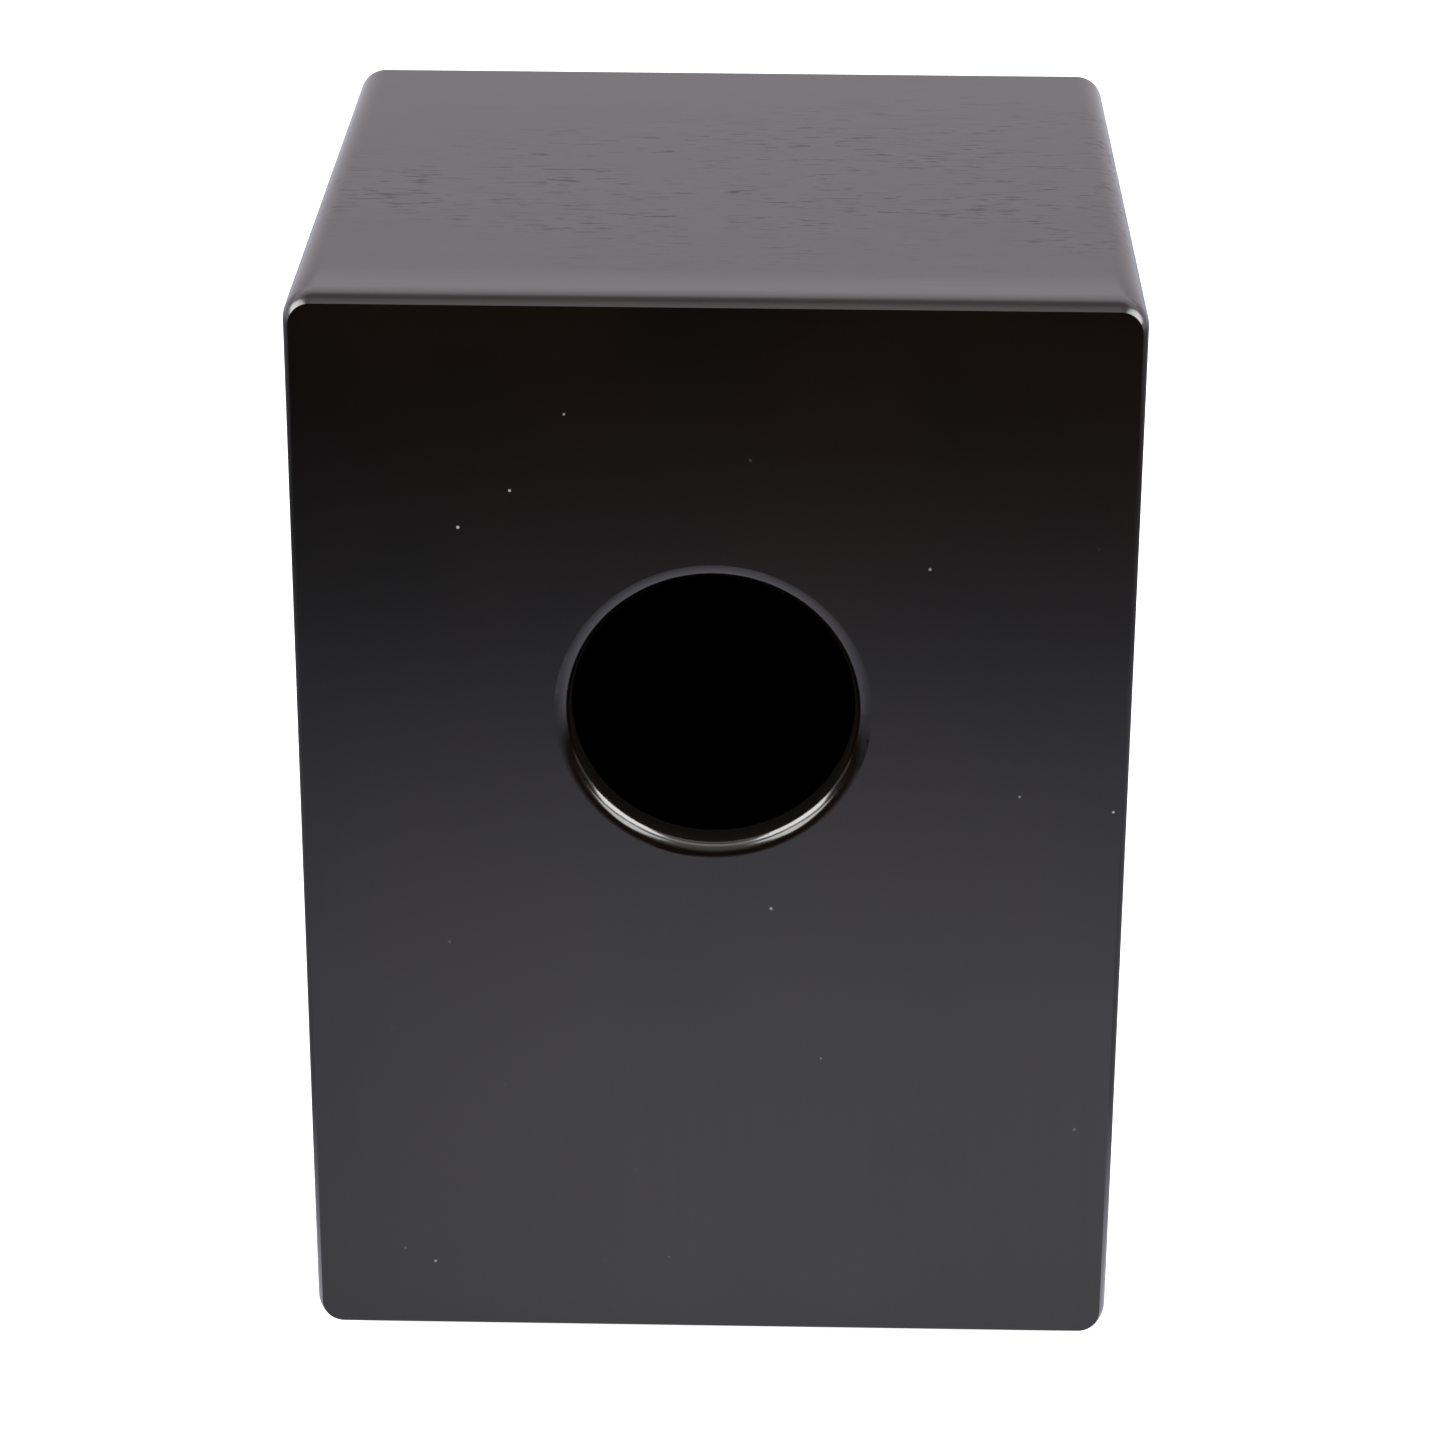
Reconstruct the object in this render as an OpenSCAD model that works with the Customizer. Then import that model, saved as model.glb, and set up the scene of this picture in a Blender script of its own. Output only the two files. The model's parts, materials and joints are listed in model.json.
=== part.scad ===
// Cajon: a hollow wooden box drum with a snare set inside.
// The player sits on the seat board and strikes the tapa, the thin plate at the front (-Y).
// The rear panel (+Y) carries the round sound hole. Millimetres, +Z up, +X to the right seen
// from the front. The origin is the centre of the footprint, on the surface it stands on.

/* [Box] */
// Outside width of the box, side to side
box_w = 300; // [280:5:330]
// Outside depth of the box, from the face of the tapa to the face of the rear panel
box_d = 295; // [270:5:320]
// Height of the box, without its feet
box_h = 411; // [400:1:480]
// Radius of the four long corners
corner_r = 10.5; // [8:0.5:12]

/* [Boards] */
// Thickness of the two side boards
side_t = 12; // [11:1:15]
// Thickness of the seat board
seat_t = 15; // [14:1:18]
// Thickness of the base board
base_t = 12; // [11:1:15]
// Thickness of the rear panel
rear_t = 11; // [11:0.5:13]
// Thickness of the tapa
tapa_t = 3; // [2.5:0.5:4]
// Radius of the shallow curve that eases the rear panel's outer edge
rear_edge_r = 22; // [12:1:22]
// Rounding of the tapa's outer edge
tapa_edge_r = 1.2; // [0.4:0.2:1.6]

/* [Sound hole] */
// Radius of the sound hole's straight wall
hole_r = 51; // [45:0.5:60]
// Rounding of the sound hole's outer rim
hole_edge_r = 6; // [3:0.5:9]
// Height of the sound hole's centre above the underside of the box
hole_height = 256.5; // [220:0.5:280]

/* [Feet] */
// Height of the rubber feet
foot_h = 8; // [7:0.5:12]
// Radius of the feet where they meet the base board
foot_r = 15; // [12:0.5:18]
// Distance of each foot's centre from the two nearest faces of the box
foot_inset = 45; // [35:1:70]

/* [Snare unit] */
// Radius of the rod that carries the snares
rod_r = 6; // [5:0.5:7]
// Distance of the rod's axis behind the inner face of the tapa
rod_gap = 22.5; // [22:0.5:30]
// Distance of the rod's axis below the top of the seat board
rod_drop = 89; // [80:1:110]
// Distance of each snare set's middle from the middle of the tapa
snare_x = 52; // [40:1:70]
// Wires in each snare set
wires_per_set = 10; // [6:1:10]
// Free length of the snare wires, with the part soldered to the plate
wire_l = 104; // [80:1:110]
// Gap between the wires and the tapa when the snares are on
wire_gap = 0.5; // [0.3:0.1:1]
// Length of the release lever's bar, from the rod's axis
lever_l = 84; // [70:1:100]
// Slope of the release lever below the level, when the snares are on
lever_droop = 10; // [0:1:15]

/* [Hidden] */

$fn = 96;
left = -1;
right = 1;
front = -1;
rear = 1;
bottom = -1;
top = 1;

lacquer_color = "#171413";
inner_wood_color = "#2a211b";
hardwood_color = "#8f6f49";
steel_color = "#b9bbbe";
rubber_color = "#202022";

// Cutters run this far past the faces that they open
past = 1;
// Room between a screw and its hole
screw_room = 0.05;

// Heights of the box and its inside
base_z = foot_h;
seat_z = foot_h + box_h;
middle_z = foot_h + box_h / 2;
inside_low_z = base_z + base_t;
inside_high_z = seat_z - seat_t;
hole_z = base_z + hole_height;

// The boards run from the back of the tapa to the back of the rear panel
boards_front_y = -box_d / 2 + tapa_t;
boards_rear_y = box_d / 2 - rear_t;
inside_w = box_w - 2 * side_t;

// The seat and base boards reach over the ends of the side boards by a thin lip
seat_lip = 8;
base_lip = 7;

// The curve at the rear panel's outer edge meets its face at this angle, in a fine line all round
edge_angle = 62;

batten_leg = 22;
batten_room = 0.2;

// Tapa screws: countersunk wood screws into the ends of the boards
tapa_screw_r = 1.5;
tapa_screw_head_r = 3.4;
tapa_screw_head_h = 2;
tapa_screw_l = 20;
tapa_screw_places = concat(
    [for (i = [-2:2]) [i * (box_w - 40) / 4, seat_z - seat_t / 2]],
    [for (i = [-2:2]) [i * (box_w - 40) / 4, base_z + base_t / 2]],
    [for (side = [left, right], i = [-1:1]) [side * (box_w - side_t) / 2, middle_z + i * box_h / 4]]
);

// Feet and their fixings
foot_edge_r = 1.5;
foot_taper = 1.5;
foot_recess_r = 7;
foot_recess_h = foot_h - 3.5;
foot_screw_r = 2;
foot_screw_l = 13.5;
washer_r = 6.5;
washer_t = 1;
foot_places = [
    for (side = [left, right], end = [front, rear])
        [side * (box_w / 2 - foot_inset), end * (box_d / 2 - foot_inset)]
];

// Snare rod and its clamp blocks
rod_y = boards_front_y + rod_gap;
rod_z = seat_z - rod_drop;
rod_end_gap = 0.5;
rod_room = 0.05;
block_w = 18;
block_d = 34;
block_h = 32;
block_split = 1.5;
block_edge_r = 3;
block_x = inside_w / 2 - block_w;
block_screw_r = 2;
block_screw_l = 25;
block_screw_places = [[-11.5, 10], [11.5, 10]];
clamp_screw_r = 2;
clamp_screw_drop = 11;
nut_r = 4;
nut_t = 3;
collar_r = 11;
collar_w = 9;
collar_gap = 0.5;
collar_edge_r = 1;

// Snare sets: holder, plate and wires, placed from the rod's axis
wire_r = 0.9;
wire_pitch = 4;
wire_y = boards_front_y + wire_gap + wire_r;
solder_l = 5;
plate_w = 44;
plate_h = 14;
plate_t = 1.2;
plate_front_y = wire_y + wire_r;
plate_top_z = rod_z - 12;
plate_low_z = plate_top_z - plate_h;
plate_screw_x = 14;
plate_screw_r = 1.4;
plate_screw_l = 7;
plate_screw_z = plate_top_z - 4.5;
holder_w = 40;
holder_r = 11;

// Release lever
lever_w = 12;
lever_t = 4;
hub_r = 11;
hub_w = 16;
grip_r = 9;
grip_l = 34;
grip_cover = 22;
grip_edge_r = 4;

// Set screws clamp each piece on the rod; [x, angle about the rod from the rear]
set_screw_r = 1.5;
set_screw_socket_r = 0.8;
collar_x = block_x - collar_gap - collar_w / 2;
set_screw_places = [
    [-collar_x, 0], [collar_x, 0], [-snare_x, 0], [snare_x, 0], [0, 90]
];

// ---- Shared shapes ----

// A rectangle with round corners, centred
module rounded_rectangle(w, h, r) {
    square([w - 2 * r, h], center = true);
    square([w, h - 2 * r], center = true);
    for (x = [-1, 1], y = [-1, 1])
        translate([x * (w / 2 - r), y * (h / 2 - r)])
            circle(r);
}

// Half section of a disc, from its axis out, with its upper outer edge rounded.
// The rounding meets the upper face at an angle: 0 runs smoothly into it.
module rim_section(r, t, edge_r, angle = 0) {
    round_from = t - edge_r * cos(angle);
    square([r - edge_r * (1 - sin(angle)), t]);
    square([r, round_from]);
    intersection() {
        translate([r - edge_r, round_from])
            circle(edge_r);
        square([r, t]);
    }
}

// A flat board with round corners, its upper outer edge rounded all the way round
module round_edged_board(w, h, t, r, edge_r, angle = 0) {
    flat_w = w - 2 * r;
    flat_h = h - 2 * r;
    translate([-flat_w / 2, -flat_h / 2, 0])
        cube([flat_w, flat_h, t]);
    for (turn = [0, 180])
        rotate([0, 0, turn])
            translate([flat_w / 2, flat_h / 2, 0])
                rotate([90, 0, 0])
                    linear_extrude(flat_h)
                        rim_section(r, t, edge_r, angle);
    for (turn = [90, 270])
        rotate([0, 0, turn])
            translate([flat_h / 2, flat_w / 2, 0])
                rotate([90, 0, 0])
                    linear_extrude(flat_w)
                        rim_section(r, t, edge_r, angle);
    for (x = [-1, 1], y = [-1, 1])
        translate([x * flat_w / 2, y * flat_h / 2, 0])
            rotate_extrude()
                rim_section(r, t, edge_r, angle);
}

// Extrudes a section drawn in X and Z, from one Y to another
module along_y(from_y, to_y) {
    translate([0, to_y, 0])
        rotate([90, 0, 0])
            linear_extrude(to_y - from_y)
                children();
}

// Extrudes a section drawn in Y and Z, from one X to another
module along_x(from_x, to_x) {
    translate([from_x, 0, 0])
        rotate([90, 0, 90])
            linear_extrude(to_x - from_x)
                children();
}

// Outline of the box, seen from the front
module box_outline() {
    translate([0, middle_z])
        rounded_rectangle(box_w, box_h, corner_r);
}

// Cross-shaped driver slot, cut down from Z = 0
module cross_slot(reach, depth) {
    slot_t = reach / 3;
    for (angle = [0, 90])
        rotate([0, 0, angle])
            translate([-reach, -slot_t / 2, -depth])
                cube([2 * reach, slot_t, depth + past]);
}

// Screw with a flat countersunk head: the head's face is at Z = 0 and the screw points down
module countersunk_screw(r, head_r, head_h, l) {
    difference() {
        union() {
            translate([0, 0, -head_h])
                cylinder(r1 = r, r2 = head_r, h = head_h);
            translate([0, 0, -l])
                cylinder(r = r, h = l - head_h);
        }
        cross_slot(head_r * 0.55, head_h * 0.6);
    }
}

// Screw with a domed head: the head sits on Z = 0 and the shank points down
module pan_head_screw(r, l) {
    head_r = 2 * r;
    head_h = 1.1 * r;
    difference() {
        union() {
            rotate_extrude()
                rim_section(head_r, head_h, head_h * 0.6);
            translate([0, 0, -l])
                cylinder(r = r, h = l);
        }
        translate([0, 0, head_h])
            cross_slot(head_r * 0.55, head_h * 0.6);
    }
}

// Pilot holes for the tapa screws, in the front ends of the boards
module tapa_screw_pilots() {
    for (place = tapa_screw_places)
        translate([place[0], -box_d / 2, place[1]])
            rotate([-90, 0, 0])
                cylinder(r = tapa_screw_r + screw_room, h = tapa_screw_l + past);
}

// ---- Box ----

module seat_board() {
    color(lacquer_color)
        difference() {
            along_y(boards_front_y, boards_rear_y)
                intersection() {
                    box_outline();
                    union() {
                        translate([-inside_w / 2, inside_high_z])
                            square([inside_w, seat_t]);
                        translate([-box_w / 2, seat_z - seat_lip])
                            square([box_w, seat_lip]);
                    }
                }
            tapa_screw_pilots();
        }
}

module base_board() {
    color(lacquer_color)
        difference() {
            along_y(boards_front_y, boards_rear_y)
                intersection() {
                    box_outline();
                    union() {
                        translate([-inside_w / 2, base_z])
                            square([inside_w, base_t]);
                        translate([-box_w / 2, base_z])
                            square([box_w, base_lip]);
                    }
                }
            tapa_screw_pilots();
            for (place = foot_places)
                translate([place[0], place[1], base_z - past])
                    cylinder(r = foot_screw_r + screw_room, h = base_t - 1);
        }
}

module side_board(side) {
    board_h = box_h - base_lip - seat_lip;
    color(lacquer_color)
        difference() {
            along_y(boards_front_y, boards_rear_y)
                intersection() {
                    box_outline();
                    translate([side * (box_w - side_t) / 2, base_z + base_lip + board_h / 2])
                        square([side_t, board_h], center = true);
                }
            tapa_screw_pilots();
            for (place = block_screw_places)
                translate([side * inside_w / 2, rod_y + place[0], rod_z + place[1]])
                    rotate([0, side * 90, 0])
                        translate([0, 0, -past])
                            cylinder(r = block_screw_r + screw_room, h = block_screw_l - block_w + 2 * past);
        }
}

module rear_panel() {
    hole_y = hole_z - middle_z;
    color(lacquer_color)
        translate([0, boards_rear_y, middle_z])
            rotate([90, 0, 180])
                difference() {
                    round_edged_board(box_w, box_h, rear_t, corner_r, rear_edge_r, edge_angle);
                    translate([0, hole_y, -past])
                        cylinder(r = hole_r, h = rear_t + 2 * past);
                    translate([0, hole_y, rear_t - hole_edge_r])
                        rotate_extrude()
                            difference() {
                                square([hole_r + hole_edge_r, hole_edge_r + past]);
                                translate([hole_r + hole_edge_r, 0])
                                    circle(hole_edge_r);
                            }
                }
}

module tapa() {
    color(lacquer_color)
        difference() {
            translate([0, boards_front_y, middle_z])
                rotate([90, 0, 0])
                    round_edged_board(box_w, box_h, tapa_t, corner_r, tapa_edge_r);
            tapa_screw_pilots();
            for (place = tapa_screw_places)
                translate([place[0], -box_d / 2, place[1]])
                    rotate([-90, 0, 0])
                        cylinder(
                            r1 = tapa_screw_head_r + screw_room,
                            r2 = tapa_screw_r + screw_room,
                            h = tapa_screw_head_h
                        );
        }
}

module tapa_screws() {
    color(steel_color)
        for (place = tapa_screw_places)
            translate([place[0], -box_d / 2, place[1]])
                rotate([90, 0, 0])
                    countersunk_screw(tapa_screw_r, tapa_screw_head_r, tapa_screw_head_h, tapa_screw_l);
}

// Three-sided batten glued into an inner corner of the box, from tapa to rear panel
module corner_batten(side, level) {
    corner_x = side * inside_w / 2;
    corner_z = level == top ? inside_high_z : inside_low_z;
    color(inner_wood_color)
        along_y(boards_front_y + batten_room, boards_rear_y - batten_room)
            polygon([
                [corner_x, corner_z],
                [corner_x - side * batten_leg, corner_z],
                [corner_x, corner_z - level * batten_leg]
            ]);
}

// ---- Feet ----

// Rubber foot: wider at the top, with a recess below for its washer and screw
module foot(side, end) {
    low_r = foot_r - foot_taper;
    color(rubber_color)
        translate([side * (box_w / 2 - foot_inset), end * (box_d / 2 - foot_inset), 0])
            difference() {
                rotate_extrude()
                    union() {
                        polygon([
                            [0, foot_edge_r],
                            [low_r, foot_edge_r],
                            [foot_r, foot_h],
                            [0, foot_h]
                        ]);
                        square([low_r - foot_edge_r, foot_edge_r]);
                        translate([low_r - foot_edge_r, foot_edge_r])
                            circle(foot_edge_r);
                    }
                translate([0, 0, -past])
                    cylinder(r = foot_recess_r, h = foot_recess_h + past);
                cylinder(r = foot_screw_r + screw_room, h = foot_h + past);
            }
}

module foot_washers() {
    color(steel_color)
        for (place = foot_places)
            translate([place[0], place[1], foot_recess_h - washer_t])
                difference() {
                    cylinder(r = washer_r, h = washer_t);
                    translate([0, 0, -past])
                        cylinder(r = foot_screw_r + screw_room, h = washer_t + 2 * past);
                }
}

module foot_screws() {
    color(steel_color)
        for (place = foot_places)
            translate([place[0], place[1], foot_recess_h - washer_t])
                rotate([180, 0, 0])
                    pan_head_screw(foot_screw_r, foot_screw_l);
}

// ---- Snare rod and its clamp blocks ----

// Hardwood block on a side board: it holds the rod's end, and is split so that it can grip
module pivot_block(side) {
    from_x = side == right ? block_x : -inside_w / 2;
    color(hardwood_color)
        translate([0, rod_y, rod_z])
            difference() {
                along_x(from_x, from_x + block_w)
                    difference() {
                        rounded_rectangle(block_d, block_h, block_edge_r);
                        circle(rod_r + rod_room);
                        translate([-block_split / 2, -block_h])
                            square([block_split, block_h]);
                    }
                for (place = block_screw_places)
                    translate([from_x - past, place[0], place[1]])
                        rotate([0, 90, 0])
                            cylinder(r = block_screw_r + screw_room, h = block_w + 2 * past);
                translate([from_x + block_w / 2, block_d / 2 + past, -clamp_screw_drop])
                    rotate([90, 0, 0])
                        cylinder(r = clamp_screw_r + screw_room, h = block_d + 2 * past);
            }
}

// Wood screws that hold the clamp blocks on the side boards
module pivot_block_screws() {
    color(steel_color)
        for (side = [left, right], place = block_screw_places)
            translate([side * block_x, rod_y + place[0], rod_z + place[1]])
                rotate([0, -side * 90, 0])
                    pan_head_screw(block_screw_r, block_screw_l);
}

// Machine screws that draw the split blocks together round the rod
module clamp_screws() {
    color(steel_color)
        for (side = [left, right])
            translate([
                side * (block_x + block_w / 2),
                rod_y + block_d / 2,
                rod_z - clamp_screw_drop
            ])
                rotate([-90, 0, 0])
                    pan_head_screw(clamp_screw_r, block_d + nut_t);
}

module clamp_nuts() {
    color(steel_color)
        for (side = [left, right])
            translate([
                side * (block_x + block_w / 2),
                rod_y - block_d / 2,
                rod_z - clamp_screw_drop
            ])
                rotate([90, 0, 0])
                    difference() {
                        cylinder(r = nut_r, h = nut_t, $fn = 6);
                        translate([0, 0, -past])
                            cylinder(r = clamp_screw_r + screw_room, h = nut_t + 2 * past);
                    }
}

module snare_rod() {
    half_l = inside_w / 2 - rod_end_gap;
    color(steel_color)
        translate([0, rod_y, rod_z])
            along_x(-half_l, half_l)
                circle(rod_r);
}

// Radial hole for a set screw, from the rod's axis out towards the rear
module set_screw_hole(angle) {
    rotate([angle, 0, 0])
        rotate([-90, 0, 0])
            cylinder(r = set_screw_r + screw_room, h = collar_r + past);
}

// Ring that keeps the rod from sliding endways
module rod_collar(side) {
    color(steel_color)
        translate([side * collar_x, rod_y, rod_z])
            difference() {
                rotate([0, 90, 0])
                    for (end = [0, 1])
                        mirror([0, 0, end])
                            rotate_extrude()
                                rim_section(collar_r, collar_w / 2, collar_edge_r);
                rotate([0, 90, 0])
                    cylinder(r = rod_r, h = collar_w + past, center = true);
                set_screw_hole(0);
            }
}

module set_screws() {
    tip = rod_r + screw_room;
    length = collar_r - rod_r - 1;
    color(steel_color)
        for (place = set_screw_places)
            translate([place[0], rod_y, rod_z])
                rotate([place[1] - 90, 0, 0])
                    difference() {
                        translate([0, 0, tip])
                            cylinder(r = set_screw_r, h = length);
                        translate([0, 0, tip + length / 2])
                            cylinder(r = set_screw_socket_r, h = length, $fn = 6);
                    }
}

// ---- Snare sets ----

// Block clamped on the rod, with a nose that carries the snare plate
module snare_holder(side) {
    nose_y = plate_front_y + plate_t - rod_y;
    nose_top = plate_top_z - rod_z;
    nose_low = plate_low_z - rod_z + 2;
    color(hardwood_color)
        translate([side * snare_x, rod_y, rod_z])
            difference() {
                along_x(-holder_w / 2, holder_w / 2)
                    difference() {
                        union() {
                            circle(holder_r);
                            polygon([
                                [nose_y, nose_top],
                                [nose_y, nose_low],
                                [nose_y + 6, nose_low],
                                [holder_r * 0.7, -holder_r * 0.7],
                                [-holder_r * 0.8, holder_r * 0.6]
                            ]);
                        }
                        circle(rod_r);
                    }
                set_screw_hole(0);
                for (x = [-plate_screw_x, plate_screw_x])
                    translate([x, nose_y - past, plate_screw_z - rod_z])
                        rotate([-90, 0, 0])
                            cylinder(r = plate_screw_r + screw_room, h = plate_screw_l + past);
            }
}

// Steel strip that the snare wires are soldered to
module snare_plate(side) {
    color(steel_color)
        translate([side * snare_x, plate_front_y + plate_t, plate_top_z - plate_h / 2])
            rotate([90, 0, 0])
                difference() {
                    linear_extrude(plate_t)
                        rounded_rectangle(plate_w, plate_h, 2);
                    for (x = [-plate_screw_x, plate_screw_x])
                        translate([x, plate_screw_z - plate_top_z + plate_h / 2, -past])
                            cylinder(r = plate_screw_r + screw_room, h = plate_t + 2 * past);
                }
}

// Coiled steel wires side by side, each drawn as the straight rod that its coil fills
module snare_wires(side) {
    color(steel_color)
        for (i = [0 : wires_per_set - 1])
            translate([
                side * snare_x + (i - (wires_per_set - 1) / 2) * wire_pitch,
                wire_y,
                plate_low_z + solder_l - wire_l
            ])
                cylinder(r = wire_r, h = wire_l);
}

module plate_screws() {
    color(steel_color)
        for (side = [left, right], x = [-plate_screw_x, plate_screw_x])
            translate([side * snare_x + x, plate_front_y, plate_screw_z])
                rotate([90, 0, 0])
                    scale(0.6)
                        pan_head_screw(plate_screw_r / 0.6, plate_screw_l / 0.6);
}

// ---- Release lever ----

// Steel lever on the middle of the rod, reached through the sound hole
module release_lever() {
    color(steel_color)
        translate([0, rod_y, rod_z])
            difference() {
                union() {
                    along_x(-hub_w / 2, hub_w / 2)
                        circle(hub_r);
                    rotate([-lever_droop, 0, 0])
                        translate([-lever_w / 2, rod_r + 1, -lever_t / 2])
                            cube([lever_w, lever_l - rod_r - 1, lever_t]);
                }
                along_x(-hub_w, hub_w)
                    circle(rod_r);
                set_screw_hole(90);
            }
}

// Rubber grip pushed over the end of the lever
module lever_grip() {
    color(rubber_color)
        translate([0, rod_y, rod_z])
            rotate([-lever_droop, 0, 0])
                difference() {
                    translate([0, lever_l - grip_cover, 0])
                        rotate([-90, 0, 0])
                            rotate_extrude()
                                union() {
                                    square([grip_r - grip_edge_r, grip_l]);
                                    translate([0, grip_edge_r])
                                        square([grip_r, grip_l - 2 * grip_edge_r]);
                                    for (y = [grip_edge_r, grip_l - grip_edge_r])
                                        translate([grip_r - grip_edge_r, y])
                                            circle(grip_edge_r);
                                }
                    translate([-lever_w / 2, 0, -lever_t / 2])
                        cube([lever_w, lever_l, lever_t]);
                }
}

seat_board();
base_board();
side_board(left);  // left_side_board
side_board(right);  // right_side_board
rear_panel();
tapa();
tapa_screws();
corner_batten(left, top);  // corner_batten_top_left
corner_batten(right, top);  // corner_batten_top_right
corner_batten(left, bottom);  // corner_batten_bottom_left
corner_batten(right, bottom);  // corner_batten_bottom_right
foot(left, front);  // foot_front_left
foot(right, front);  // foot_front_right
foot(left, rear);  // foot_rear_left
foot(right, rear);  // foot_rear_right
foot_washers();
foot_screws();
pivot_block(left);  // pivot_block_left
pivot_block(right);  // pivot_block_right
pivot_block_screws();
clamp_screws();
clamp_nuts();
snare_rod();
rod_collar(left);  // rod_collar_left
rod_collar(right);  // rod_collar_right
snare_holder(left);  // snare_holder_left
snare_holder(right);  // snare_holder_right
snare_plate(left);  // snare_plate_left
snare_plate(right);  // snare_plate_right
snare_wires(left);  // snare_wires_left
snare_wires(right);  // snare_wires_right
plate_screws();
set_screws();
release_lever();
lever_grip();
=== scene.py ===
"""Looks of the cajon: camera, soft studio, lacquer and the other finishes, and coiled snare wires.

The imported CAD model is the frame. Metres, +Z up, tapa towards -Y, sound hole towards +Y.
"""

import json
import math

import bpy
from mathutils import Matrix, Vector


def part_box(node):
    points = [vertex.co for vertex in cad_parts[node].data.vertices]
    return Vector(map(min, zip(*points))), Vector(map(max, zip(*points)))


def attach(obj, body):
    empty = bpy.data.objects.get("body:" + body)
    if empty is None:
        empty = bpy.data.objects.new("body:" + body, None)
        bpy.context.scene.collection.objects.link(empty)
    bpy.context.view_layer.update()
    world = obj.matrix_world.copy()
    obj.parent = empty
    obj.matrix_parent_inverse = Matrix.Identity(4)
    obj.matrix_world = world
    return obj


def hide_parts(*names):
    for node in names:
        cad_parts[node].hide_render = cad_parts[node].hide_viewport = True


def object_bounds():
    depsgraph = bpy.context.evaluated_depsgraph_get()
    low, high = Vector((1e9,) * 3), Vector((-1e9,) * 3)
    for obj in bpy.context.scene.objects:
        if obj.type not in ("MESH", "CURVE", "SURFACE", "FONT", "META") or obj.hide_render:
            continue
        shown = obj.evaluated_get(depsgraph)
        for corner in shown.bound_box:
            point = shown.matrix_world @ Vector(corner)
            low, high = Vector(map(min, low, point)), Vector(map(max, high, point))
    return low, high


MM = 0.001
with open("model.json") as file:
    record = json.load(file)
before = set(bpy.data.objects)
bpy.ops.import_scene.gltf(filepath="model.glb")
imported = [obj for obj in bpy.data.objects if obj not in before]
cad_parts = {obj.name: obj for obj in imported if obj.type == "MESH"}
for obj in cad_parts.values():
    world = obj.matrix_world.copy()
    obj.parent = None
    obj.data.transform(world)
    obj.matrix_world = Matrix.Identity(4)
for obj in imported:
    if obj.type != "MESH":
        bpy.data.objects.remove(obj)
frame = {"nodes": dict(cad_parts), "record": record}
nodes = frame["nodes"]
cad_low, cad_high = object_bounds()


# ---- Camera ----

CAMERA_PLACE = Vector((-0.0299, 1.5849, 0.8910))
CAMERA_HEADING = 181.056  # degrees about +Z; 180 looks along -Y, at the rear panel
CAMERA_DROP = 23.661  # degrees below the level
CAMERA_ROLL = 0.301
CAMERA_LENS = 109.37  # millimetres, on a 36 mm sensor


def make_camera():
    """The camera looks down at the rear panel and the seat, almost square on."""
    data = bpy.data.cameras.new("camera")
    data.lens = CAMERA_LENS
    data.sensor_width = 36
    data.clip_start = 0.05
    data.clip_end = 100
    camera = bpy.data.objects.new("camera", data)
    bpy.context.scene.collection.objects.link(camera)
    heading = Matrix.Rotation(math.radians(CAMERA_HEADING), 4, "Z")
    drop = Matrix.Rotation(math.radians(90 - CAMERA_DROP), 4, "X")
    roll = Matrix.Rotation(math.radians(CAMERA_ROLL), 4, "Z")
    camera.matrix_world = Matrix.Translation(CAMERA_PLACE) @ heading @ drop @ roll
    bpy.context.scene.camera = camera


# ---- Shader helpers ----

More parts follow.
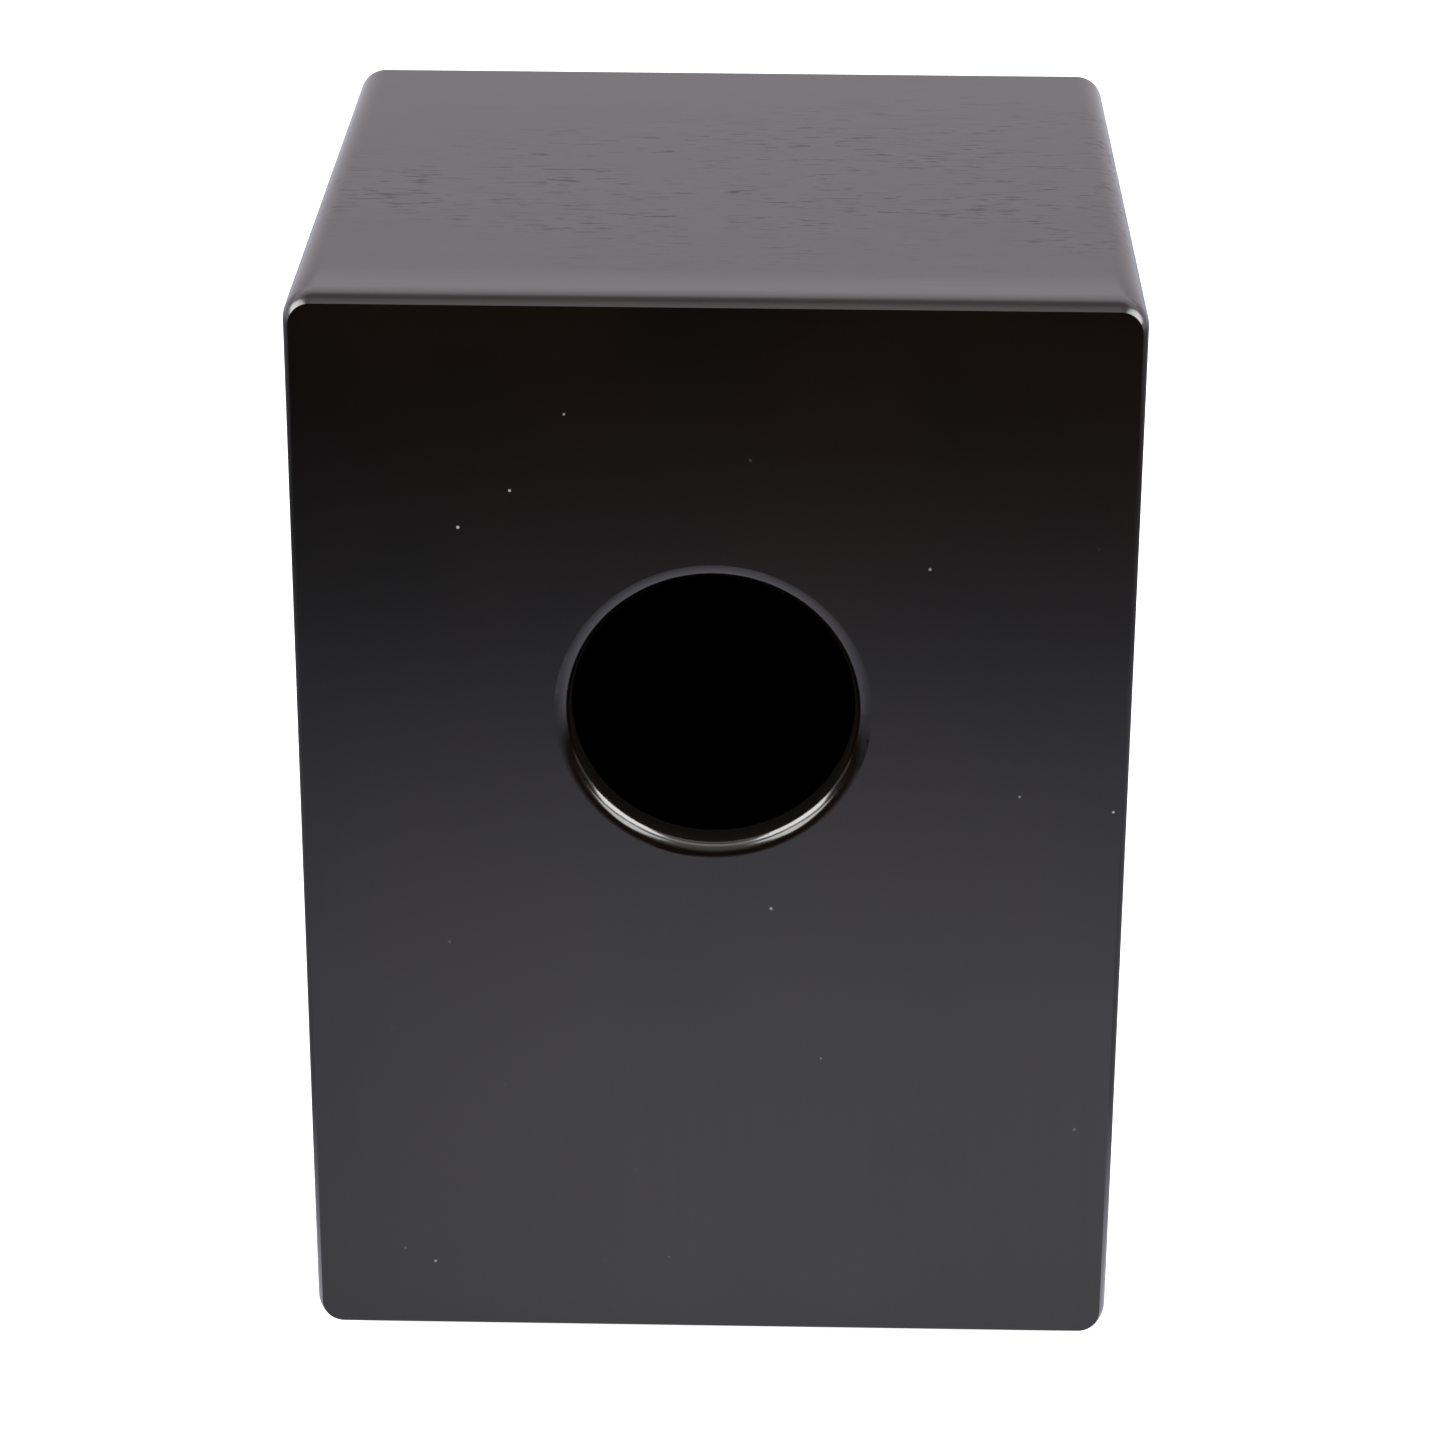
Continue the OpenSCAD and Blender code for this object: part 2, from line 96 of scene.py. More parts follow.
class Shader:
    """Adds and links the nodes of one material or of the world."""

    def __init__(self, owner):
        owner.use_nodes = True
        self.tree = owner.node_tree
        self.tree.nodes.clear()

    def add(self, kind, inputs=None, **settings):
        """A new node. Inputs are constants or output sockets, by name or by number."""
        made = self.tree.nodes.new("ShaderNode" + kind)
        for name, value in settings.items():
            setattr(made, name, value)
        for name, value in (inputs or {}).items():
            if isinstance(value, bpy.types.NodeSocket):
                self.tree.links.new(value, made.inputs[name])
            else:
                made.inputs[name].default_value = value
        return made

    def math(self, operation, *values):
        """A Math node's output."""
        return self.add("Math", dict(enumerate(values)), operation=operation).outputs[0]

    def vector_math(self, operation, *values):
        """A Vector Math node's vector."""
        return self.add("VectorMath", dict(enumerate(values)), operation=operation).outputs["Vector"]

    def length(self, vector):
        """A vector's length."""
        return self.add("VectorMath", {0: vector}, operation="LENGTH").outputs["Value"]

    def fade(self, value, low, high, to_low=0.0, to_high=1.0, style="SMOOTHSTEP"):
        """Runs from to_low, where value is low, to to_high, where it is high."""
        limits = {"From Min": low, "From Max": high, "To Min": to_low, "To Max": to_high}
        ranged = self.add("MapRange", {"Value": value, **limits}, interpolation_type=style)
        return ranged.outputs["Result"]

    def mix(self, share, first, second):
        """A colour between two colours."""
        mixed = self.add("Mix", {"Factor": share}, data_type="RGBA")
        for number, value in ((6, first), (7, second)):
            if isinstance(value, bpy.types.NodeSocket):
                self.tree.links.new(value, mixed.inputs[number])
            else:
                mixed.inputs[number].default_value = (*value, 1)
        return mixed.outputs[2]

    def place(self):
        """The place on the object, in metres in the shared frame at rest."""
        return self.add("TexCoord").outputs["Object"]

    def millimetres(self, *sizes):
        """The place on the object, divided by the size of a feature in millimetres, on each axis."""
        return self.vector_math("MULTIPLY", self.place(), tuple(1 / (MM * size) for size in sizes))

    def noise(self, vector, detail=2.0, roughness=0.5, distortion=0.0):
        """Noise from 0 to 1 whose features are one unit of the vector across."""
        inputs = {"Scale": 1.0, "Detail": detail, "Roughness": roughness, "Distortion": distortion}
        return self.add("TexNoise", {"Vector": vector, **inputs}).outputs["Fac"]

    def along_grain(self, axis, across, length, detail=2.0):
        """Noise drawn out along one axis: 0 is X, 1 is Y and 2 is Z. Sizes in millimetres."""
        sizes = [across, across, across]
        sizes[axis] = length
        return self.noise(self.millimetres(*sizes), detail=detail)

    def bump(self, height, distance, under=None):
        """A normal from a height of 0 to 1, where 1 stands distance metres proud of what is under it."""
        inputs = {"Height": height, "Distance": distance}
        if under:
            inputs["Normal"] = under
        return self.add("Bump", inputs).outputs["Normal"]

    def inside_cavity(self):
        """1 on the faces that look into the box's cavity, and 0 on all others."""
        low, high = CAVITY
        off_centre = self.vector_math("SUBTRACT", self.place(), tuple((low + high) / 2))
        from_centre = self.vector_math("ABSOLUTE", off_centre)
        beyond = self.vector_math("SUBTRACT", from_centre, tuple((high - low) / 2))
        parts = self.add("SeparateXYZ", {0: beyond}).outputs
        furthest = self.math("MAXIMUM", self.math("MAXIMUM", parts[0], parts[1]), parts[2])
        return self.math("LESS_THAN", furthest, CAVITY_SLACK)

    def surface(self, base_color, roughness, normal, **settings):
        """Ends the material with a Principled shader. The settings are its other inputs, by name."""
        inputs = {"Base Color": base_color, "Roughness": roughness, "Normal": normal, **settings}
        shader = self.add("BsdfPrincipled", inputs)
        self.tree.links.new(shader.outputs[0], self.add("OutputMaterial").inputs["Surface"])

    def glow(self, color, strength):
        """Ends the material with plain emitted light."""
        emission = self.add("Emission", {"Color": (*color, 1), "Strength": strength})
        self.tree.links.new(emission.outputs[0], self.add("OutputMaterial").inputs["Surface"])


def new_material(name):
    """A material and the helper that fills it."""
    made = bpy.data.materials.new(name)
    return made, Shader(made)


# ---- Studio ----

FLOOR_REACH = 6.0
FLOOR_PAPER = (0.27, 0.27, 0.27, 1)
FLOOR_SELF_LIGHT = 0.98

# The pool of light at the foot of the rear panel, and the paper behind the box, as the lacquer
# reflects them. The pool is brightest within its core, and dim beside the box and behind it.
POOL_TINT = (0.945, 0.955, 1.09)
POOL_RADIANCE = 1.42
POOL_CORE = 0.17  # metres out from the box
POOL_SPREAD = 0.50  # metres past the core, over which the pool dims to 1 part in e
POOL_BESIDE = 0.13  # the share of the pool's light that is left beside the box
POOL_EDGE = (-0.03, 0.20)  # along Y, from beside the box to before the rear panel
POOL_SLANT = (0.0, 0.25, 1.0, 0.80)  # along X, from and to, and the pool's share at each
BEHIND_RADIANCE = 0.85
BEHIND_FADE = (0.3, 2.4)  # along -Y, from none to all of it

# The large light in front of the rear panel: dim at its lower edge, weak above that, strong at its top
FRONT_DISTANCE = 0.95
FRONT_HEIGHTS = (0.45, 2.5)
FRONT_HALF_WIDTH = 1.2
FRONT_DIM = 0.2
FRONT_WEAK = 1.0
FRONT_WEAK_HEIGHT = 0.8
FRONT_STRONG = 3.6
FRONT_STRONG_RISE = (1.15, 1.6)  # heights over which it goes from weak to strong

# A bright panel at each side of it, which broadens the glints on the hole's rim
PANEL_PLACE = Vector((0.60, 0.94, 0.72))
PANEL_HALF_SIZE = (0.25, 0.30)
PANEL_RADIANCE = 12.0

# The paper behind the box, as the lacquer sees it by the sine of its height: from, to, and the change
BACKDROP_RADIANCE = 0.81
BACKDROP_STEPS = ((0.26, 0.285, -0.065), (0.305, 0.35, 0.60), (0.62, 0.76, -0.82))
OVERHEAD_STEP = (0.82, 0.95, 1.35)
DARK_ROOM = (0.10, 0.35)  # by the sine towards +Y, from the backdrop to the dark room in front
GLOSS_TINT = (1, 0.94, 1, 1)


def card(name, half_w, half_h, place, tilt=0.0):
    """A flat sheet in the studio, centred on a place, and tilted about X by degrees."""
    corners = [(x * half_w, y * half_h, 0) for x, y in ((-1, -1), (1, -1), (1, 1), (-1, 1))]
    mesh = bpy.data.meshes.new(name)
    mesh.from_pydata(corners, [], [(0, 1, 2, 3)])
    made = bpy.data.objects.new(name, mesh)
    made.location = place
    made.rotation_euler.x = math.radians(tilt)
    bpy.context.scene.collection.objects.link(made)
    return made


def show_only_in_gloss(sheet):
    """Leaves a sheet to be seen by reflections alone."""
    sheet.visible_camera = False
    sheet.visible_diffuse = False
    sheet.visible_shadow = False


def make_floor():
    """A pale floor, bright enough by itself to stay white under the box."""
    floor = card("floor", FLOOR_REACH, FLOOR_REACH, (0, 0, 0))
    paint, shader = new_material("floor_paper")
    paper = shader.add("BsdfDiffuse", {"Color": FLOOR_PAPER})
    lit = shader.add("Emission", {"Strength": FLOOR_SELF_LIGHT})
    both = shader.add("AddShader", {0: paper.outputs[0], 1: lit.outputs[0]})
    shader.tree.links.new(both.outputs[0], shader.add("OutputMaterial").inputs["Surface"])
    floor.data.materials.append(paint)
    floor.visible_glossy = False


def make_pool():
    """The pool of light on the floor that the lacquer reflects: it dims away from the box."""
    pool = card("floor_pool", FLOOR_REACH, FLOOR_REACH, (0, 0, -MM))
    light, shader = new_material("floor_light")
    place = shader.add("NewGeometry").outputs["Position"]
    folded = shader.vector_math("ABSOLUTE", shader.vector_math("MULTIPLY", place, (1, 1, 0)))
    outside = shader.vector_math("SUBTRACT", folded, (cad_high.x, cad_high.y, 0))
    distance = shader.length(shader.vector_math("MAXIMUM", outside, (0, 0, 0)))
    past_core = shader.math("MAXIMUM", shader.math("SUBTRACT", distance, POOL_CORE), 0.0)
    spreads = shader.math("DIVIDE", past_core, POOL_SPREAD)
    squared = shader.math("MULTIPLY", spreads, spreads)
    share = shader.math("EXPONENT", shader.math("MULTIPLY", squared, -1.0))
    axes = shader.add("SeparateXYZ", {0: place}).outputs
    depth = axes["Y"]
    front = shader.fade(depth, *POOL_EDGE, POOL_BESIDE * POOL_RADIANCE, POOL_RADIANCE)
    slanted = shader.math("MULTIPLY", front, shader.fade(axes["X"], *POOL_SLANT))
    near = shader.math("MULTIPLY", share, slanted)
    behind = shader.fade(shader.math("MULTIPLY", depth, -1.0), *BEHIND_FADE, 0.0, BEHIND_RADIANCE)
    shader.glow(POOL_TINT, shader.math("MAXIMUM", near, behind))
    pool.data.materials.append(light)
    show_only_in_gloss(pool)


def make_front_light():
    """The light in front of the rear panel, which the rim of the sound hole reflects."""
    low, high = FRONT_HEIGHTS
    place = (0, FRONT_DISTANCE, (low + high) / 2)
    sheet = card("front_light", FRONT_HALF_WIDTH, (high - low) / 2, place, tilt=90)
    light, shader = new_material("front_glow")
    height = shader.add("SeparateXYZ", {0: shader.add("NewGeometry").outputs["Position"]}).outputs["Z"]
    weak = shader.fade(height, low, FRONT_WEAK_HEIGHT, FRONT_DIM, FRONT_WEAK)
    strong = shader.fade(height, *FRONT_STRONG_RISE, 0.0, FRONT_STRONG - FRONT_WEAK)
    shader.glow((1, 1, 1), shader.math("ADD", weak, strong))
    sheet.data.materials.append(light)
    show_only_in_gloss(sheet)


def make_front_panels():
    """A small bright panel at each side of the front light."""
    light, shader = new_material("panel_glow")
    shader.glow((1, 1, 1), PANEL_RADIANCE)
    for side, name in ((-1, "front_panel_left"), (1, "front_panel_right")):
        place = Vector((side * PANEL_PLACE.x, PANEL_PLACE.y, PANEL_PLACE.z))
        panel = card(name, *PANEL_HALF_SIZE, place, tilt=90)
        panel.data.materials.append(light)
        show_only_in_gloss(panel)


def make_world():
    """Even light all round. What gloss sees is a pale backdrop behind the box, a gap above it, a
    light overhead, and a dark room in front."""
    world = bpy.data.worlds.new("studio")
    bpy.context.scene.world = world
    shader = Shader(world)
    direction = shader.add("SeparateXYZ", {"Vector": shader.add("TexCoord").outputs["Generated"]})
    height = direction.outputs["Z"]
    paper = BACKDROP_RADIANCE
    for low, high, change in (*BACKDROP_STEPS, OVERHEAD_STEP):
        paper = shader.math("ADD", paper, shader.fade(height, low, high, 0.0, change))
    not_dark = shader.fade(direction.outputs["Y"], *DARK_ROOM, 1.0, 0.0)
    seen = shader.math("MULTIPLY", paper, not_dark)
    gloss = shader.add("Background", {"Color": GLOSS_TINT, "Strength": seen})
    fill = shader.add("Background", {"Color": (1, 1, 1, 1), "Strength": 1.0})
    is_gloss = shader.add("LightPath").outputs["Is Glossy Ray"]
    chosen = shader.add("MixShader", {0: is_gloss, 1: fill.outputs[0], 2: gloss.outputs[0]})
    shader.tree.links.new(chosen.outputs[0], shader.add("OutputWorld").inputs["Surface"])


def softbox(name, azimuth, elevation, distance, size, power):
    """An area light of a width and height, aimed at the box. Azimuth 0 faces the tapa, 180 the rear panel."""
    data = bpy.data.lights.new(name, "AREA")
    data.shape = "RECTANGLE"
    data.size, data.size_y = size
    data.energy = power
    lamp = bpy.data.objects.new(name, data)
    bpy.context.scene.collection.objects.link(lamp)
    around, up = math.radians(azimuth), math.radians(elevation)
    away = Vector((math.sin(around) * math.cos(up), -math.cos(around) * math.cos(up), math.sin(up)))
    middle = Vector((0, 0, cad_high.z / 2))
    lamp.location = middle + away * distance
    lamp.rotation_mode = "QUATERNION"
    lamp.rotation_quaternion = away.to_track_quat("Z", "Y")


def make_lights():
    """A large softbox at each side of the camera, and a tall one at each side of the box."""
    for side in (-1, 1):
        name = "left" if side < 0 else "right"
        key_azimuth = 180 + side * 60
        softbox(f"key_{name}", key_azimuth, elevation=38, distance=1.9, size=(1.3, 1.3), power=90)
        softbox(f"fill_{name}", side * 70, elevation=36, distance=2.2, size=(0.9, 2.4), power=52)


# ---- Materials ----

CAVITY = (
    Vector((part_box("left_side_board")[1].x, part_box("tapa")[1].y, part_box("base_board")[1].z)),
    Vector((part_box("right_side_board")[0].x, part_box("rear_panel")[0].y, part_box("seat_board")[0].z)),
)
CAVITY_SLACK = 0.02 * MM  # how far past the cavity's walls a point still counts as on them
SOUND_HOLE = next(mount for mount in frame["record"]["mounts"] if mount["name"] == "sound_hole")

BARE_SHADE_REACH = 0.6 * MM  # how far past the sound hole's straight wall the wood is bare and near black: painted shade on the rim's inner edge
BARE_SHADE_BLUR = 0.3 * MM
EASED_REACH = 22 * MM  # the seat's bump falls by EASED_FALL over this distance, towards the rear panel
EASED_FALL = 0.40 * MM
PORE_DULLING = 0.33  # share of the coat that is missing over an open pore
LINE_DULLING = 0.08
SPECK_SPACING = 18  # millimetres
SPECK_SIZE = (0.020, 0.042)  # in spacings from a speck's middle: where it starts and ends to fade
SPECK_HIDING = 2.2  # how fast the specks go as the pores show
SPECK_COLOR = (0.12, 0.12, 0.12)
LACQUER_ROUGHNESS = 0.15
LACQUER_IOR = 1.5
# The bare wood's stain, near black: partly its own stain, partly painted shade inside the box and in the
# sound hole
STAIN_AND_HOLE_SHADE = (0.0012, 0.0011, 0.0010)


def pore_field(shader, axis):
    """How open the pores are, from 0 to 1: short soft dashes in a wide ragged band across the depth."""
    dashes = shader.along_grain(axis, across=1.4, length=9.0, detail=1.0)
    fine = shader.fade(dashes, 0.51, 0.67)
    clumps = shader.along_grain(axis, across=9.0, length=30.0)
    clumped = shader.fade(clumps, 0.38, 0.62, 0.15, 1.0)
    across = shader.add("SeparateXYZ", {0: shader.millimetres(150, 150, 150)}).outputs
    slant = shader.math("MULTIPLY_ADD", across["X"], 0.12, 0.05)
    off_middle = shader.math("ABSOLUTE", shader.math("SUBTRACT", across["Y"], slant))
    reach = shader.fade(across["X"], 0.0, 0.9, 1.0, 0.6)
    ragged = shader.along_grain(axis, across=22.0, length=60.0, detail=1.0)
    edge = shader.math("DIVIDE", shader.math("MULTIPLY_ADD", ragged, 0.5, off_middle), reach)
    band = shader.fade(edge, 0.55, 1.10, 1.0, 0.06)
    return shader.math("MULTIPLY", shader.math("MULTIPLY", fine, clumped), band)


def lacquer(name, grain_axis, pores_show, round_hole=False, eased=False):
    """Black satin lacquer, a clear coat over stained wood, with the bare stain inside the box, near black:
    partly the wood's own stain, partly painted shade.

    The wood's pores run along grain_axis, 0 for X and 2 for Z, and show by pores_show. A board with a
    round_hole is bare and near black on the hole's wall and inner rim, a painted shade that keeps the hole
    dark, and the bump of an eased one falls towards the rear panel.
    """
    made, shader = new_material(name)
    pores = shader.math("MULTIPLY", pore_field(shader, grain_axis), pores_show)
    # Colour: almost black, a little browner in places, darker in the pores
    patch = shader.noise(shader.millimetres(110, 110, 110))
    tint = shader.mix(shader.fade(patch, 0.35, 0.65), (0.0008, 0.0005, 0.0003), (0.0018, 0.0008, 0.0004))
    colour = shader.mix(pores, tint, (0.0003, 0.0003, 0.0003))
    # Specks of dust caught in the lacquer, few of them bright, and fewer where the pores show
    spacing = shader.millimetres(SPECK_SPACING, SPECK_SPACING, SPECK_SPACING)
    cells = shader.add("TexVoronoi", {"Vector": spacing, "Scale": 1.0})
    speck = shader.fade(cells.outputs["Distance"], *SPECK_SIZE, 1.0, 0.0)
    chance = shader.add("SeparateColor", {0: cells.outputs["Color"]}).outputs[0]
    left_over = max(0.0, 1.0 - SPECK_HIDING * pores_show)
    strength = shader.math("MULTIPLY", shader.math("POWER", chance, 2.0), left_over)
    colour = shader.mix(shader.math("MULTIPLY", speck, strength), colour, SPECK_COLOR)
    # Surface: slow waves, a fine peel, long faint lines along the grain, and the sunken pores
    lines = shader.along_grain(grain_axis, 1.1, 150.0)
    waves = shader.bump(shader.noise(shader.millimetres(45, 45, 45), detail=1.0), 0.03 * MM)
    peel = shader.bump(shader.noise(shader.millimetres(1.4, 1.4, 1.4)), 0.005 * MM, waves)
    lined = shader.bump(lines, 0.003 * MM, peel)
    normal = shader.bump(shader.math("MULTIPLY", pores, -1.0), 0.03 * MM, lined)
    if eased:
        normal = shader.bump(shader.math("MULTIPLY", eased_front(shader), -1.0), EASED_FALL, normal)
    # Inside the box, and in the sound hole, the wood is only stained, near black: partly its own stain,
    # partly painted shade that keeps the view into the hole dark
    inside = shader.inside_cavity()
    # The hole's wall and inner rim join in: bare, near-black wood that is painted shade
    if round_hole:
        inside = shader.math("MAXIMUM", inside, bare_hole_shade(shader))
    grain = shader.along_grain(grain_axis, 1.5, 40.0)
    stained = shader.mix(grain, STAIN_AND_HOLE_SHADE, tuple(2.2 * part for part in STAIN_AND_HOLE_SHADE))
    # The coat is thinner over the pores and in the lines
    coat = shader.math("MULTIPLY_ADD", pores, -PORE_DULLING, 1.0)
    coat = shader.math("MULTIPLY_ADD", lines, -LINE_DULLING, coat)
    coat = shader.math("MULTIPLY", coat, shader.math("SUBTRACT", 1.0, inside))
    clear_coat = {
        "Coat Weight": coat,
        "Coat Roughness": LACQUER_ROUGHNESS,
        "Coat IOR": LACQUER_IOR,
        "Coat Normal": normal,
        "Specular IOR Level": 0.0,
    }
    wood = shader.mix(inside, colour, stained)
    shader.surface(wood, shader.fade(grain, 0, 1, 0.7, 0.9), normal, **clear_coat)
    return made


def eased_front(shader):
    """How far the seat's bump has fallen towards the rear panel, from 0 to 1."""
    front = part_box("seat_board")[1].y
    depth = shader.add("SeparateXYZ", {0: shader.place()}).outputs["Y"]
    share = shader.fade(depth, front - EASED_REACH, front, style="LINEAR")
    return shader.math("POWER", share, 2.0)


def bare_hole_shade(shader):
    """1 on the sound hole's wall and the innermost part of its rim, where the bare near-black wood is painted
    shade, and 0 outside them.
    """
    x, _, z = SOUND_HOLE["pos_m"]
    off_axis = shader.vector_math("SUBTRACT", shader.place(), (x, 0, z))
    flat = shader.vector_math("MULTIPLY", off_axis, (1, 0, 1))
    edge = SOUND_HOLE["dims"]["r_mm"] * MM + BARE_SHADE_REACH
    return shader.fade(shader.length(flat), edge, edge + BARE_SHADE_BLUR, 1.0, 0.0)


def stained_batten():
    """Softwood stained black and left matt, with its grain along the batten."""
    made, shader = new_material("stained_batten")
    grain = shader.along_grain(1, 1.6, 70.0, detail=3.0)
    colour = shader.mix(grain, STAIN_AND_HOLE_SHADE, tuple(3.0 * part for part in STAIN_AND_HOLE_SHADE))
    saw_marks = shader.along_grain(0, 1.0, 30.0)
    normal = shader.bump(grain, 0.12 * MM, shader.bump(saw_marks, 0.04 * MM))
    shader.surface(colour, shader.fade(grain, 0.2, 0.8, 0.65, 0.85), normal)
    return made


def oiled_hardwood():
    """Beech under oil: warm, fine-grained, with short dark flecks."""
    made, shader = new_material("oiled_hardwood")
    rings = shader.along_grain(0, 3.5, 60.0, detail=3.0)
    flecks = shader.fade(shader.along_grain(0, 0.5, 3.5), 0.60, 0.72)
    colour = shader.mix(shader.fade(rings, 0.3, 0.7), (0.20, 0.105, 0.050), (0.33, 0.195, 0.100))
    colour = shader.mix(shader.math("MULTIPLY", flecks, 0.6), colour, (0.10, 0.045, 0.020))
    normal = shader.bump(shader.math("MULTIPLY", flecks, -1.0), 0.05 * MM, shader.bump(rings, 0.03 * MM))
    shader.surface(colour, shader.fade(rings, 0.2, 0.8, 0.42, 0.55), normal)
    return made


def moulded_rubber(name):
    """Black rubber with a fine spark-eroded texture and a few chalky rubs."""
    made, shader = new_material(name)
    texture = shader.noise(shader.millimetres(0.5, 0.5, 0.5), detail=3.0)
    rubs = shader.fade(shader.noise(shader.millimetres(9, 9, 9), detail=4.0), 0.55, 0.8)
    colour = shader.mix(rubs, (0.012, 0.012, 0.013), (0.030, 0.029, 0.028))
    normal = shader.bump(texture, 0.05 * MM)
    shader.surface(colour, shader.fade(texture, 0.3, 0.7, 0.55, 0.75), normal)
    return made


def zinc_plate():
    """Bright zinc plating, slightly clouded."""
    made, shader = new_material("zinc_plate")
    clouds = shader.noise(shader.millimetres(2.5, 2.5, 2.5), detail=4.0)
    colour = shader.mix(clouds, (0.46, 0.47, 0.49), (0.62, 0.63, 0.66))
    grit = shader.noise(shader.millimetres(0.35, 0.35, 0.35))
    shader.surface(
        colour, shader.fade(clouds, 0.3, 0.7, 0.24, 0.40), shader.bump(grit, 0.008 * MM), Metallic=1.0
    )
    return made


def turned_steel(name, axis, color):
    """Satin steel with fine marks across the axis that it was drawn or turned along."""
    made, shader = new_material(name)
    sizes = [12.0, 12.0, 12.0]
    sizes[axis] = 0.18
    marks = shader.noise(shader.millimetres(*sizes), detail=3.0)
    smears = shader.noise(shader.millimetres(16, 16, 16), detail=3.0)
    colour = shader.mix(smears, tuple(0.82 * part for part in color), color)
    shader.surface(
        colour, shader.fade(marks, 0.3, 0.7, 0.26, 0.38), shader.bump(marks, 0.01 * MM), Metallic=1.0
    )
    return made


def solder():
    """Soft solder: grey, a little dull, with a grainy skin."""
    made, shader = new_material("solder")
    skin = shader.noise(shader.millimetres(0.8, 0.8, 0.8), detail=3.0)
    colour = shader.mix(skin, (0.36, 0.36, 0.35), (0.55, 0.55, 0.54))
    shader.surface(
        colour, shader.fade(skin, 0.3, 0.7, 0.30, 0.50), shader.bump(skin, 0.04 * MM), Metallic=1.0
    )
    return made


def paint_nodes():
    """Gives each CAD node its material."""
    side = lacquer("lacquer_side", 2, pores_show=0.35)
    batten = stained_batten()
    hardwood = oiled_hardwood()
    rubber = moulded_rubber("moulded_rubber")
    zinc = zinc_plate()
    steel = turned_steel("turned_steel", 0, (0.50, 0.50, 0.51))
    by_start = {
        "seat_board": lacquer("lacquer_seat", 0, pores_show=1.0, eased=True),
        "rear_panel": lacquer("lacquer_panel", 2, pores_show=0.0, round_hole=True),
        "base_board": lacquer("lacquer_base", 0, pores_show=0.35),
        "tapa_screws": zinc,
        "tapa": lacquer("lacquer_tapa", 2, pores_show=0.5),
        "left_side_board": side,
        "right_side_board": side,
        "corner_batten": batten,
        "foot_washers": zinc,
        "foot_screws": zinc,
        "foot": rubber,
        "pivot_block_screws": zinc,
        "pivot_block": hardwood,
        "snare_holder": hardwood,
        "snare_rod": steel,
        "snare_plate": turned_steel("brushed_plate", 2, (0.55, 0.55, 0.54)),
        "release_lever": turned_steel("brushed_lever", 1, (0.50, 0.50, 0.51)),
        "lever_grip": rubber,
        "": zinc,  # the rod collars, the other fasteners, and the stand-in wires, which coils replace
    }
    for name, node in nodes.items():
        material = next(value for start, value in by_start.items() if name.startswith(start))
        node.data.materials.clear()
        node.data.materials.append(material)


# ---- Snare wires ----

WIRES_PER_SET = 10
WIRE_HALF = 0.2 * MM
COIL_PITCH = 1.0 * MM
COIL_START_STEP = 2.4  # radians from one coil's start to the next one's, so that they don't look copied
RINGS_PER_TURN = 8
WIRE_SIDES = 5
SOLDER_WIDTH = 2.6 * MM
SOLDER_FULLNESS = 0.7  # the power that rounds the bead's ends: 1 is an ellipse, and less is fuller
SOLDER_ROUNDS = 10
SOLDER_SIDES = 2 * SOLDER_ROUNDS


def add_tube(build, path):
    """Adds a closed tube of the wire's size to the mesh lists. path holds points and their two cross axes."""
    points, faces = build
    first = len(points)
    for middle, out, up in path:
        for step in range(WIRE_SIDES):
            turn = math.tau * step / WIRE_SIDES
            points.append(middle + WIRE_HALF * (math.cos(turn) * out + math.sin(turn) * up))
    for ring in range(len(path) - 1):
        for step in range(WIRE_SIDES):
            low = first + ring * WIRE_SIDES
            after = (step + 1) % WIRE_SIDES
            faces.append((low + step, low + after, low + WIRE_SIDES + after, low + WIRE_SIDES + step))
    faces.append(tuple(first + step for step in reversed(range(WIRE_SIDES))))
    last = len(points) - WIRE_SIDES
    faces.append(tuple(last + step for step in range(WIRE_SIDES)))


def coil_path(x, y, low, high, radius, start):
    """A coil's points up the Z axis, each with its outward and upward cross axes."""
    rings = round((high - low) / COIL_PITCH * RINGS_PER_TURN)
    climb = COIL_PITCH / math.tau
    path = []
    for ring in range(rings + 1):
        turn = start + math.tau * ring / RINGS_PER_TURN
        out = Vector((math.cos(turn), math.sin(turn), 0))
        along = Vector((-math.sin(turn) * radius, math.cos(turn) * radius, climb)).normalized()
        middle = Vector((x, y, low + (high - low) * ring / rings)) + out * radius
        path.append((middle, out, out.cross(along)))
    return path


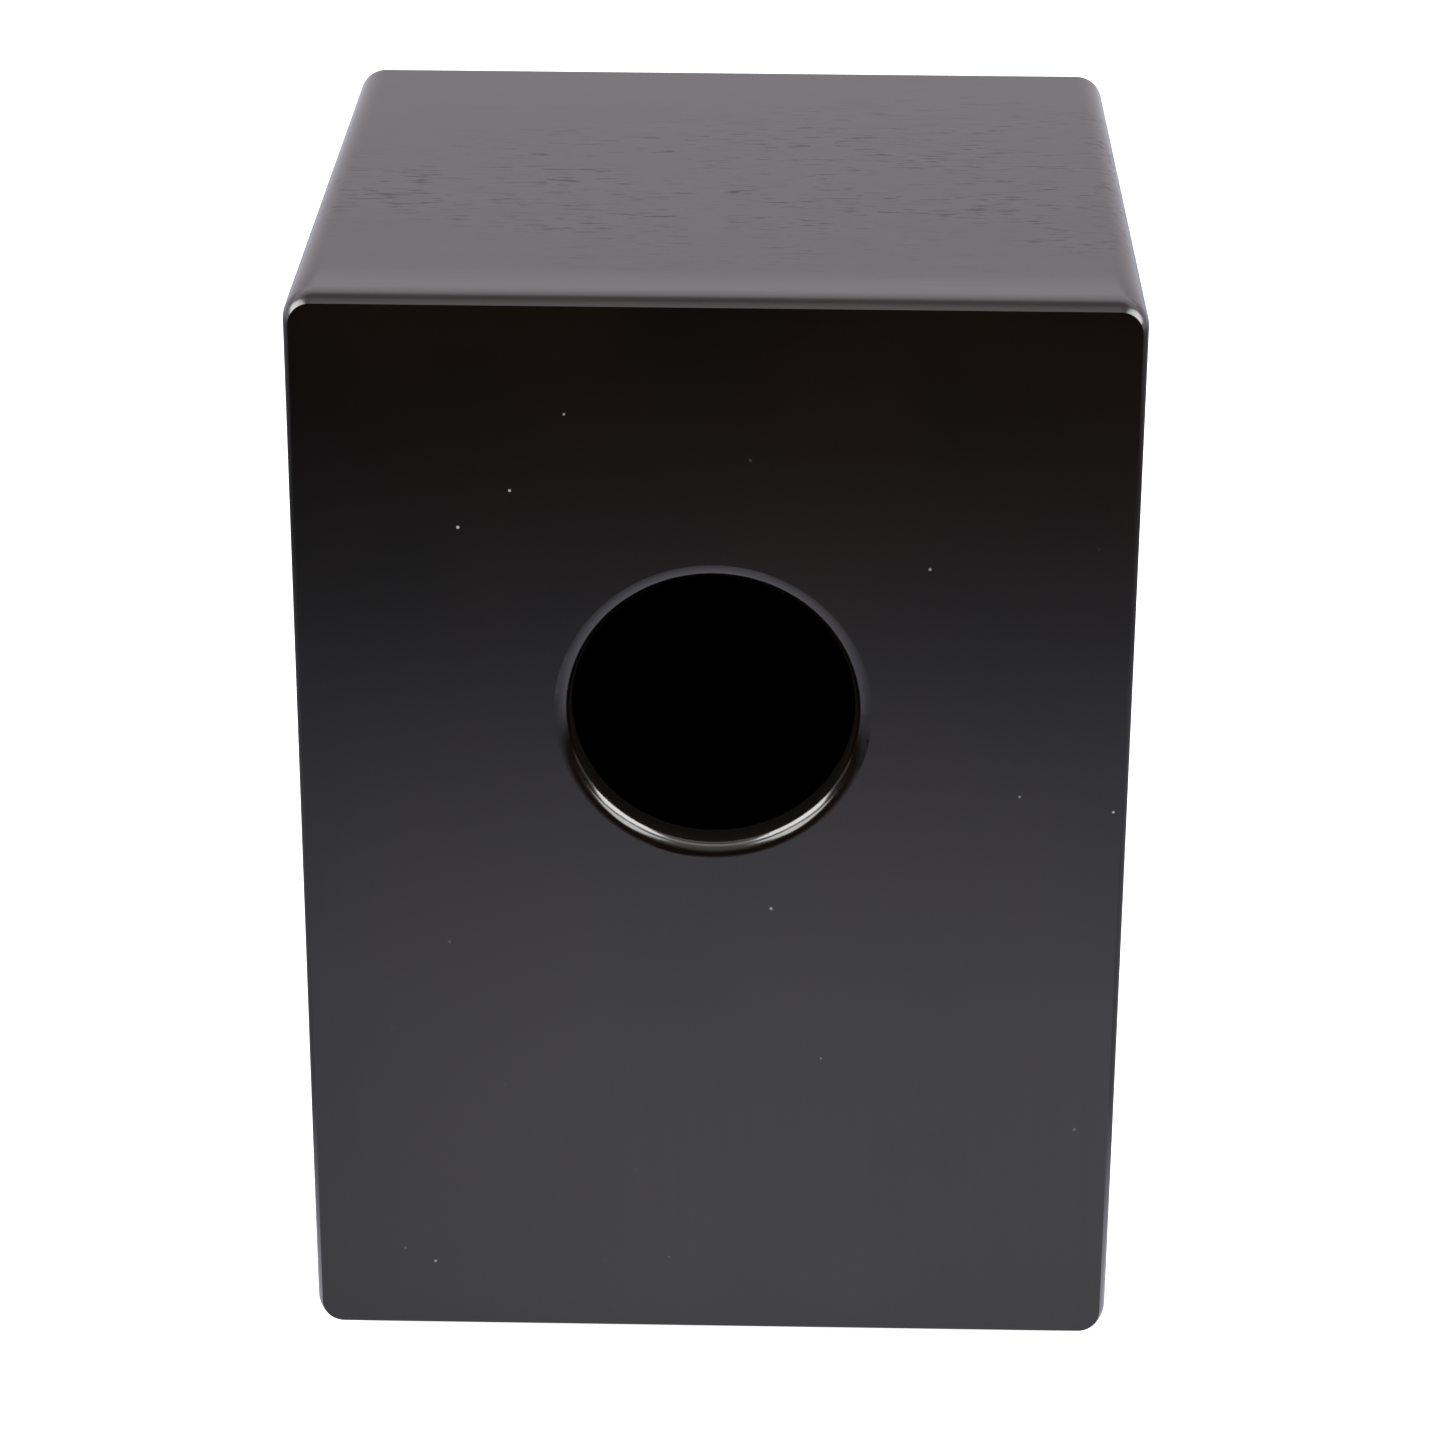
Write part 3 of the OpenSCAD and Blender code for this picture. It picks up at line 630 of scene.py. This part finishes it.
def add_solder(build, x, y, low, high, depth):
    """Adds a rounded bead of solder round the top of a wire, standing depth out from its middle."""
    points, faces = build
    first = len(points)
    middle = Vector((x, y, (low + high) / 2))
    for level in range(1, SOLDER_ROUNDS):
        rise = math.pi * level / SOLDER_ROUNDS
        fullness = math.sin(rise) ** SOLDER_FULLNESS
        below_middle = Vector((0, 0, (high - low) / 2 * math.cos(rise)))
        for step in range(SOLDER_SIDES):
            turn = math.tau * step / SOLDER_SIDES
            reach = Vector((math.cos(turn) * SOLDER_WIDTH / 2, math.sin(turn) * depth, 0)) * fullness
            points.append(middle + reach - below_middle)
    for level in range(SOLDER_ROUNDS - 2):
        ring = first + level * SOLDER_SIDES
        above = ring + SOLDER_SIDES
        for step in range(SOLDER_SIDES):
            after = (step + 1) % SOLDER_SIDES
            faces.append((ring + step, ring + after, above + after, above + step))
    faces.append(tuple(first + step for step in reversed(range(SOLDER_SIDES))))
    last = len(points) - SOLDER_SIDES
    faces.append(tuple(last + step for step in range(SOLDER_SIDES)))


def make_snare_wires():
    """Each set's straight stand-in rods become coiled wires, soldered to their plate at the top."""
    wire = turned_steel("bright_wire", 2, (0.66, 0.66, 0.65))
    bead = solder()
    for side in ("left", "right"):
        low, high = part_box(f"snare_wires_{side}")
        coil_half = (high.y - low.y) / 2
        y = (low.y + high.y) / 2
        plate_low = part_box(f"snare_plate_{side}")[0].z
        gap = (high.x - low.x - 2 * coil_half) / (WIRES_PER_SET - 1)
        build = ([], [])
        bead_faces = []
        for number in range(WIRES_PER_SET):
            x = low.x + coil_half + number * gap
            bottom, top = low.z + WIRE_HALF, high.z - WIRE_HALF
            start = COIL_START_STEP * number
            add_tube(build, coil_path(x, y, bottom, top, coil_half - WIRE_HALF, start))
            coil_faces = len(build[1])
            add_solder(build, x, y, plate_low, high.z, coil_half)
            bead_faces.extend(range(coil_faces, len(build[1])))
        mesh = bpy.data.meshes.new(f"snare_coils_{side}")
        mesh.from_pydata(build[0], [], build[1])
        mesh.shade_smooth()
        mesh.materials.append(wire)
        mesh.materials.append(bead)
        for face in bead_faces:
            mesh.polygons[face].material_index = 1
        piece = bpy.data.objects.new(f"snare_coils_{side}", mesh)
        bpy.context.scene.collection.objects.link(piece)
        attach(piece, "snare")
        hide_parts(f"snare_wires_{side}")


make_camera()
make_floor()
make_pool()
make_front_light()
make_front_panels()
make_world()
make_lights()
paint_nodes()
make_snare_wires()
bpy.context.scene.view_settings.view_transform = "Standard"
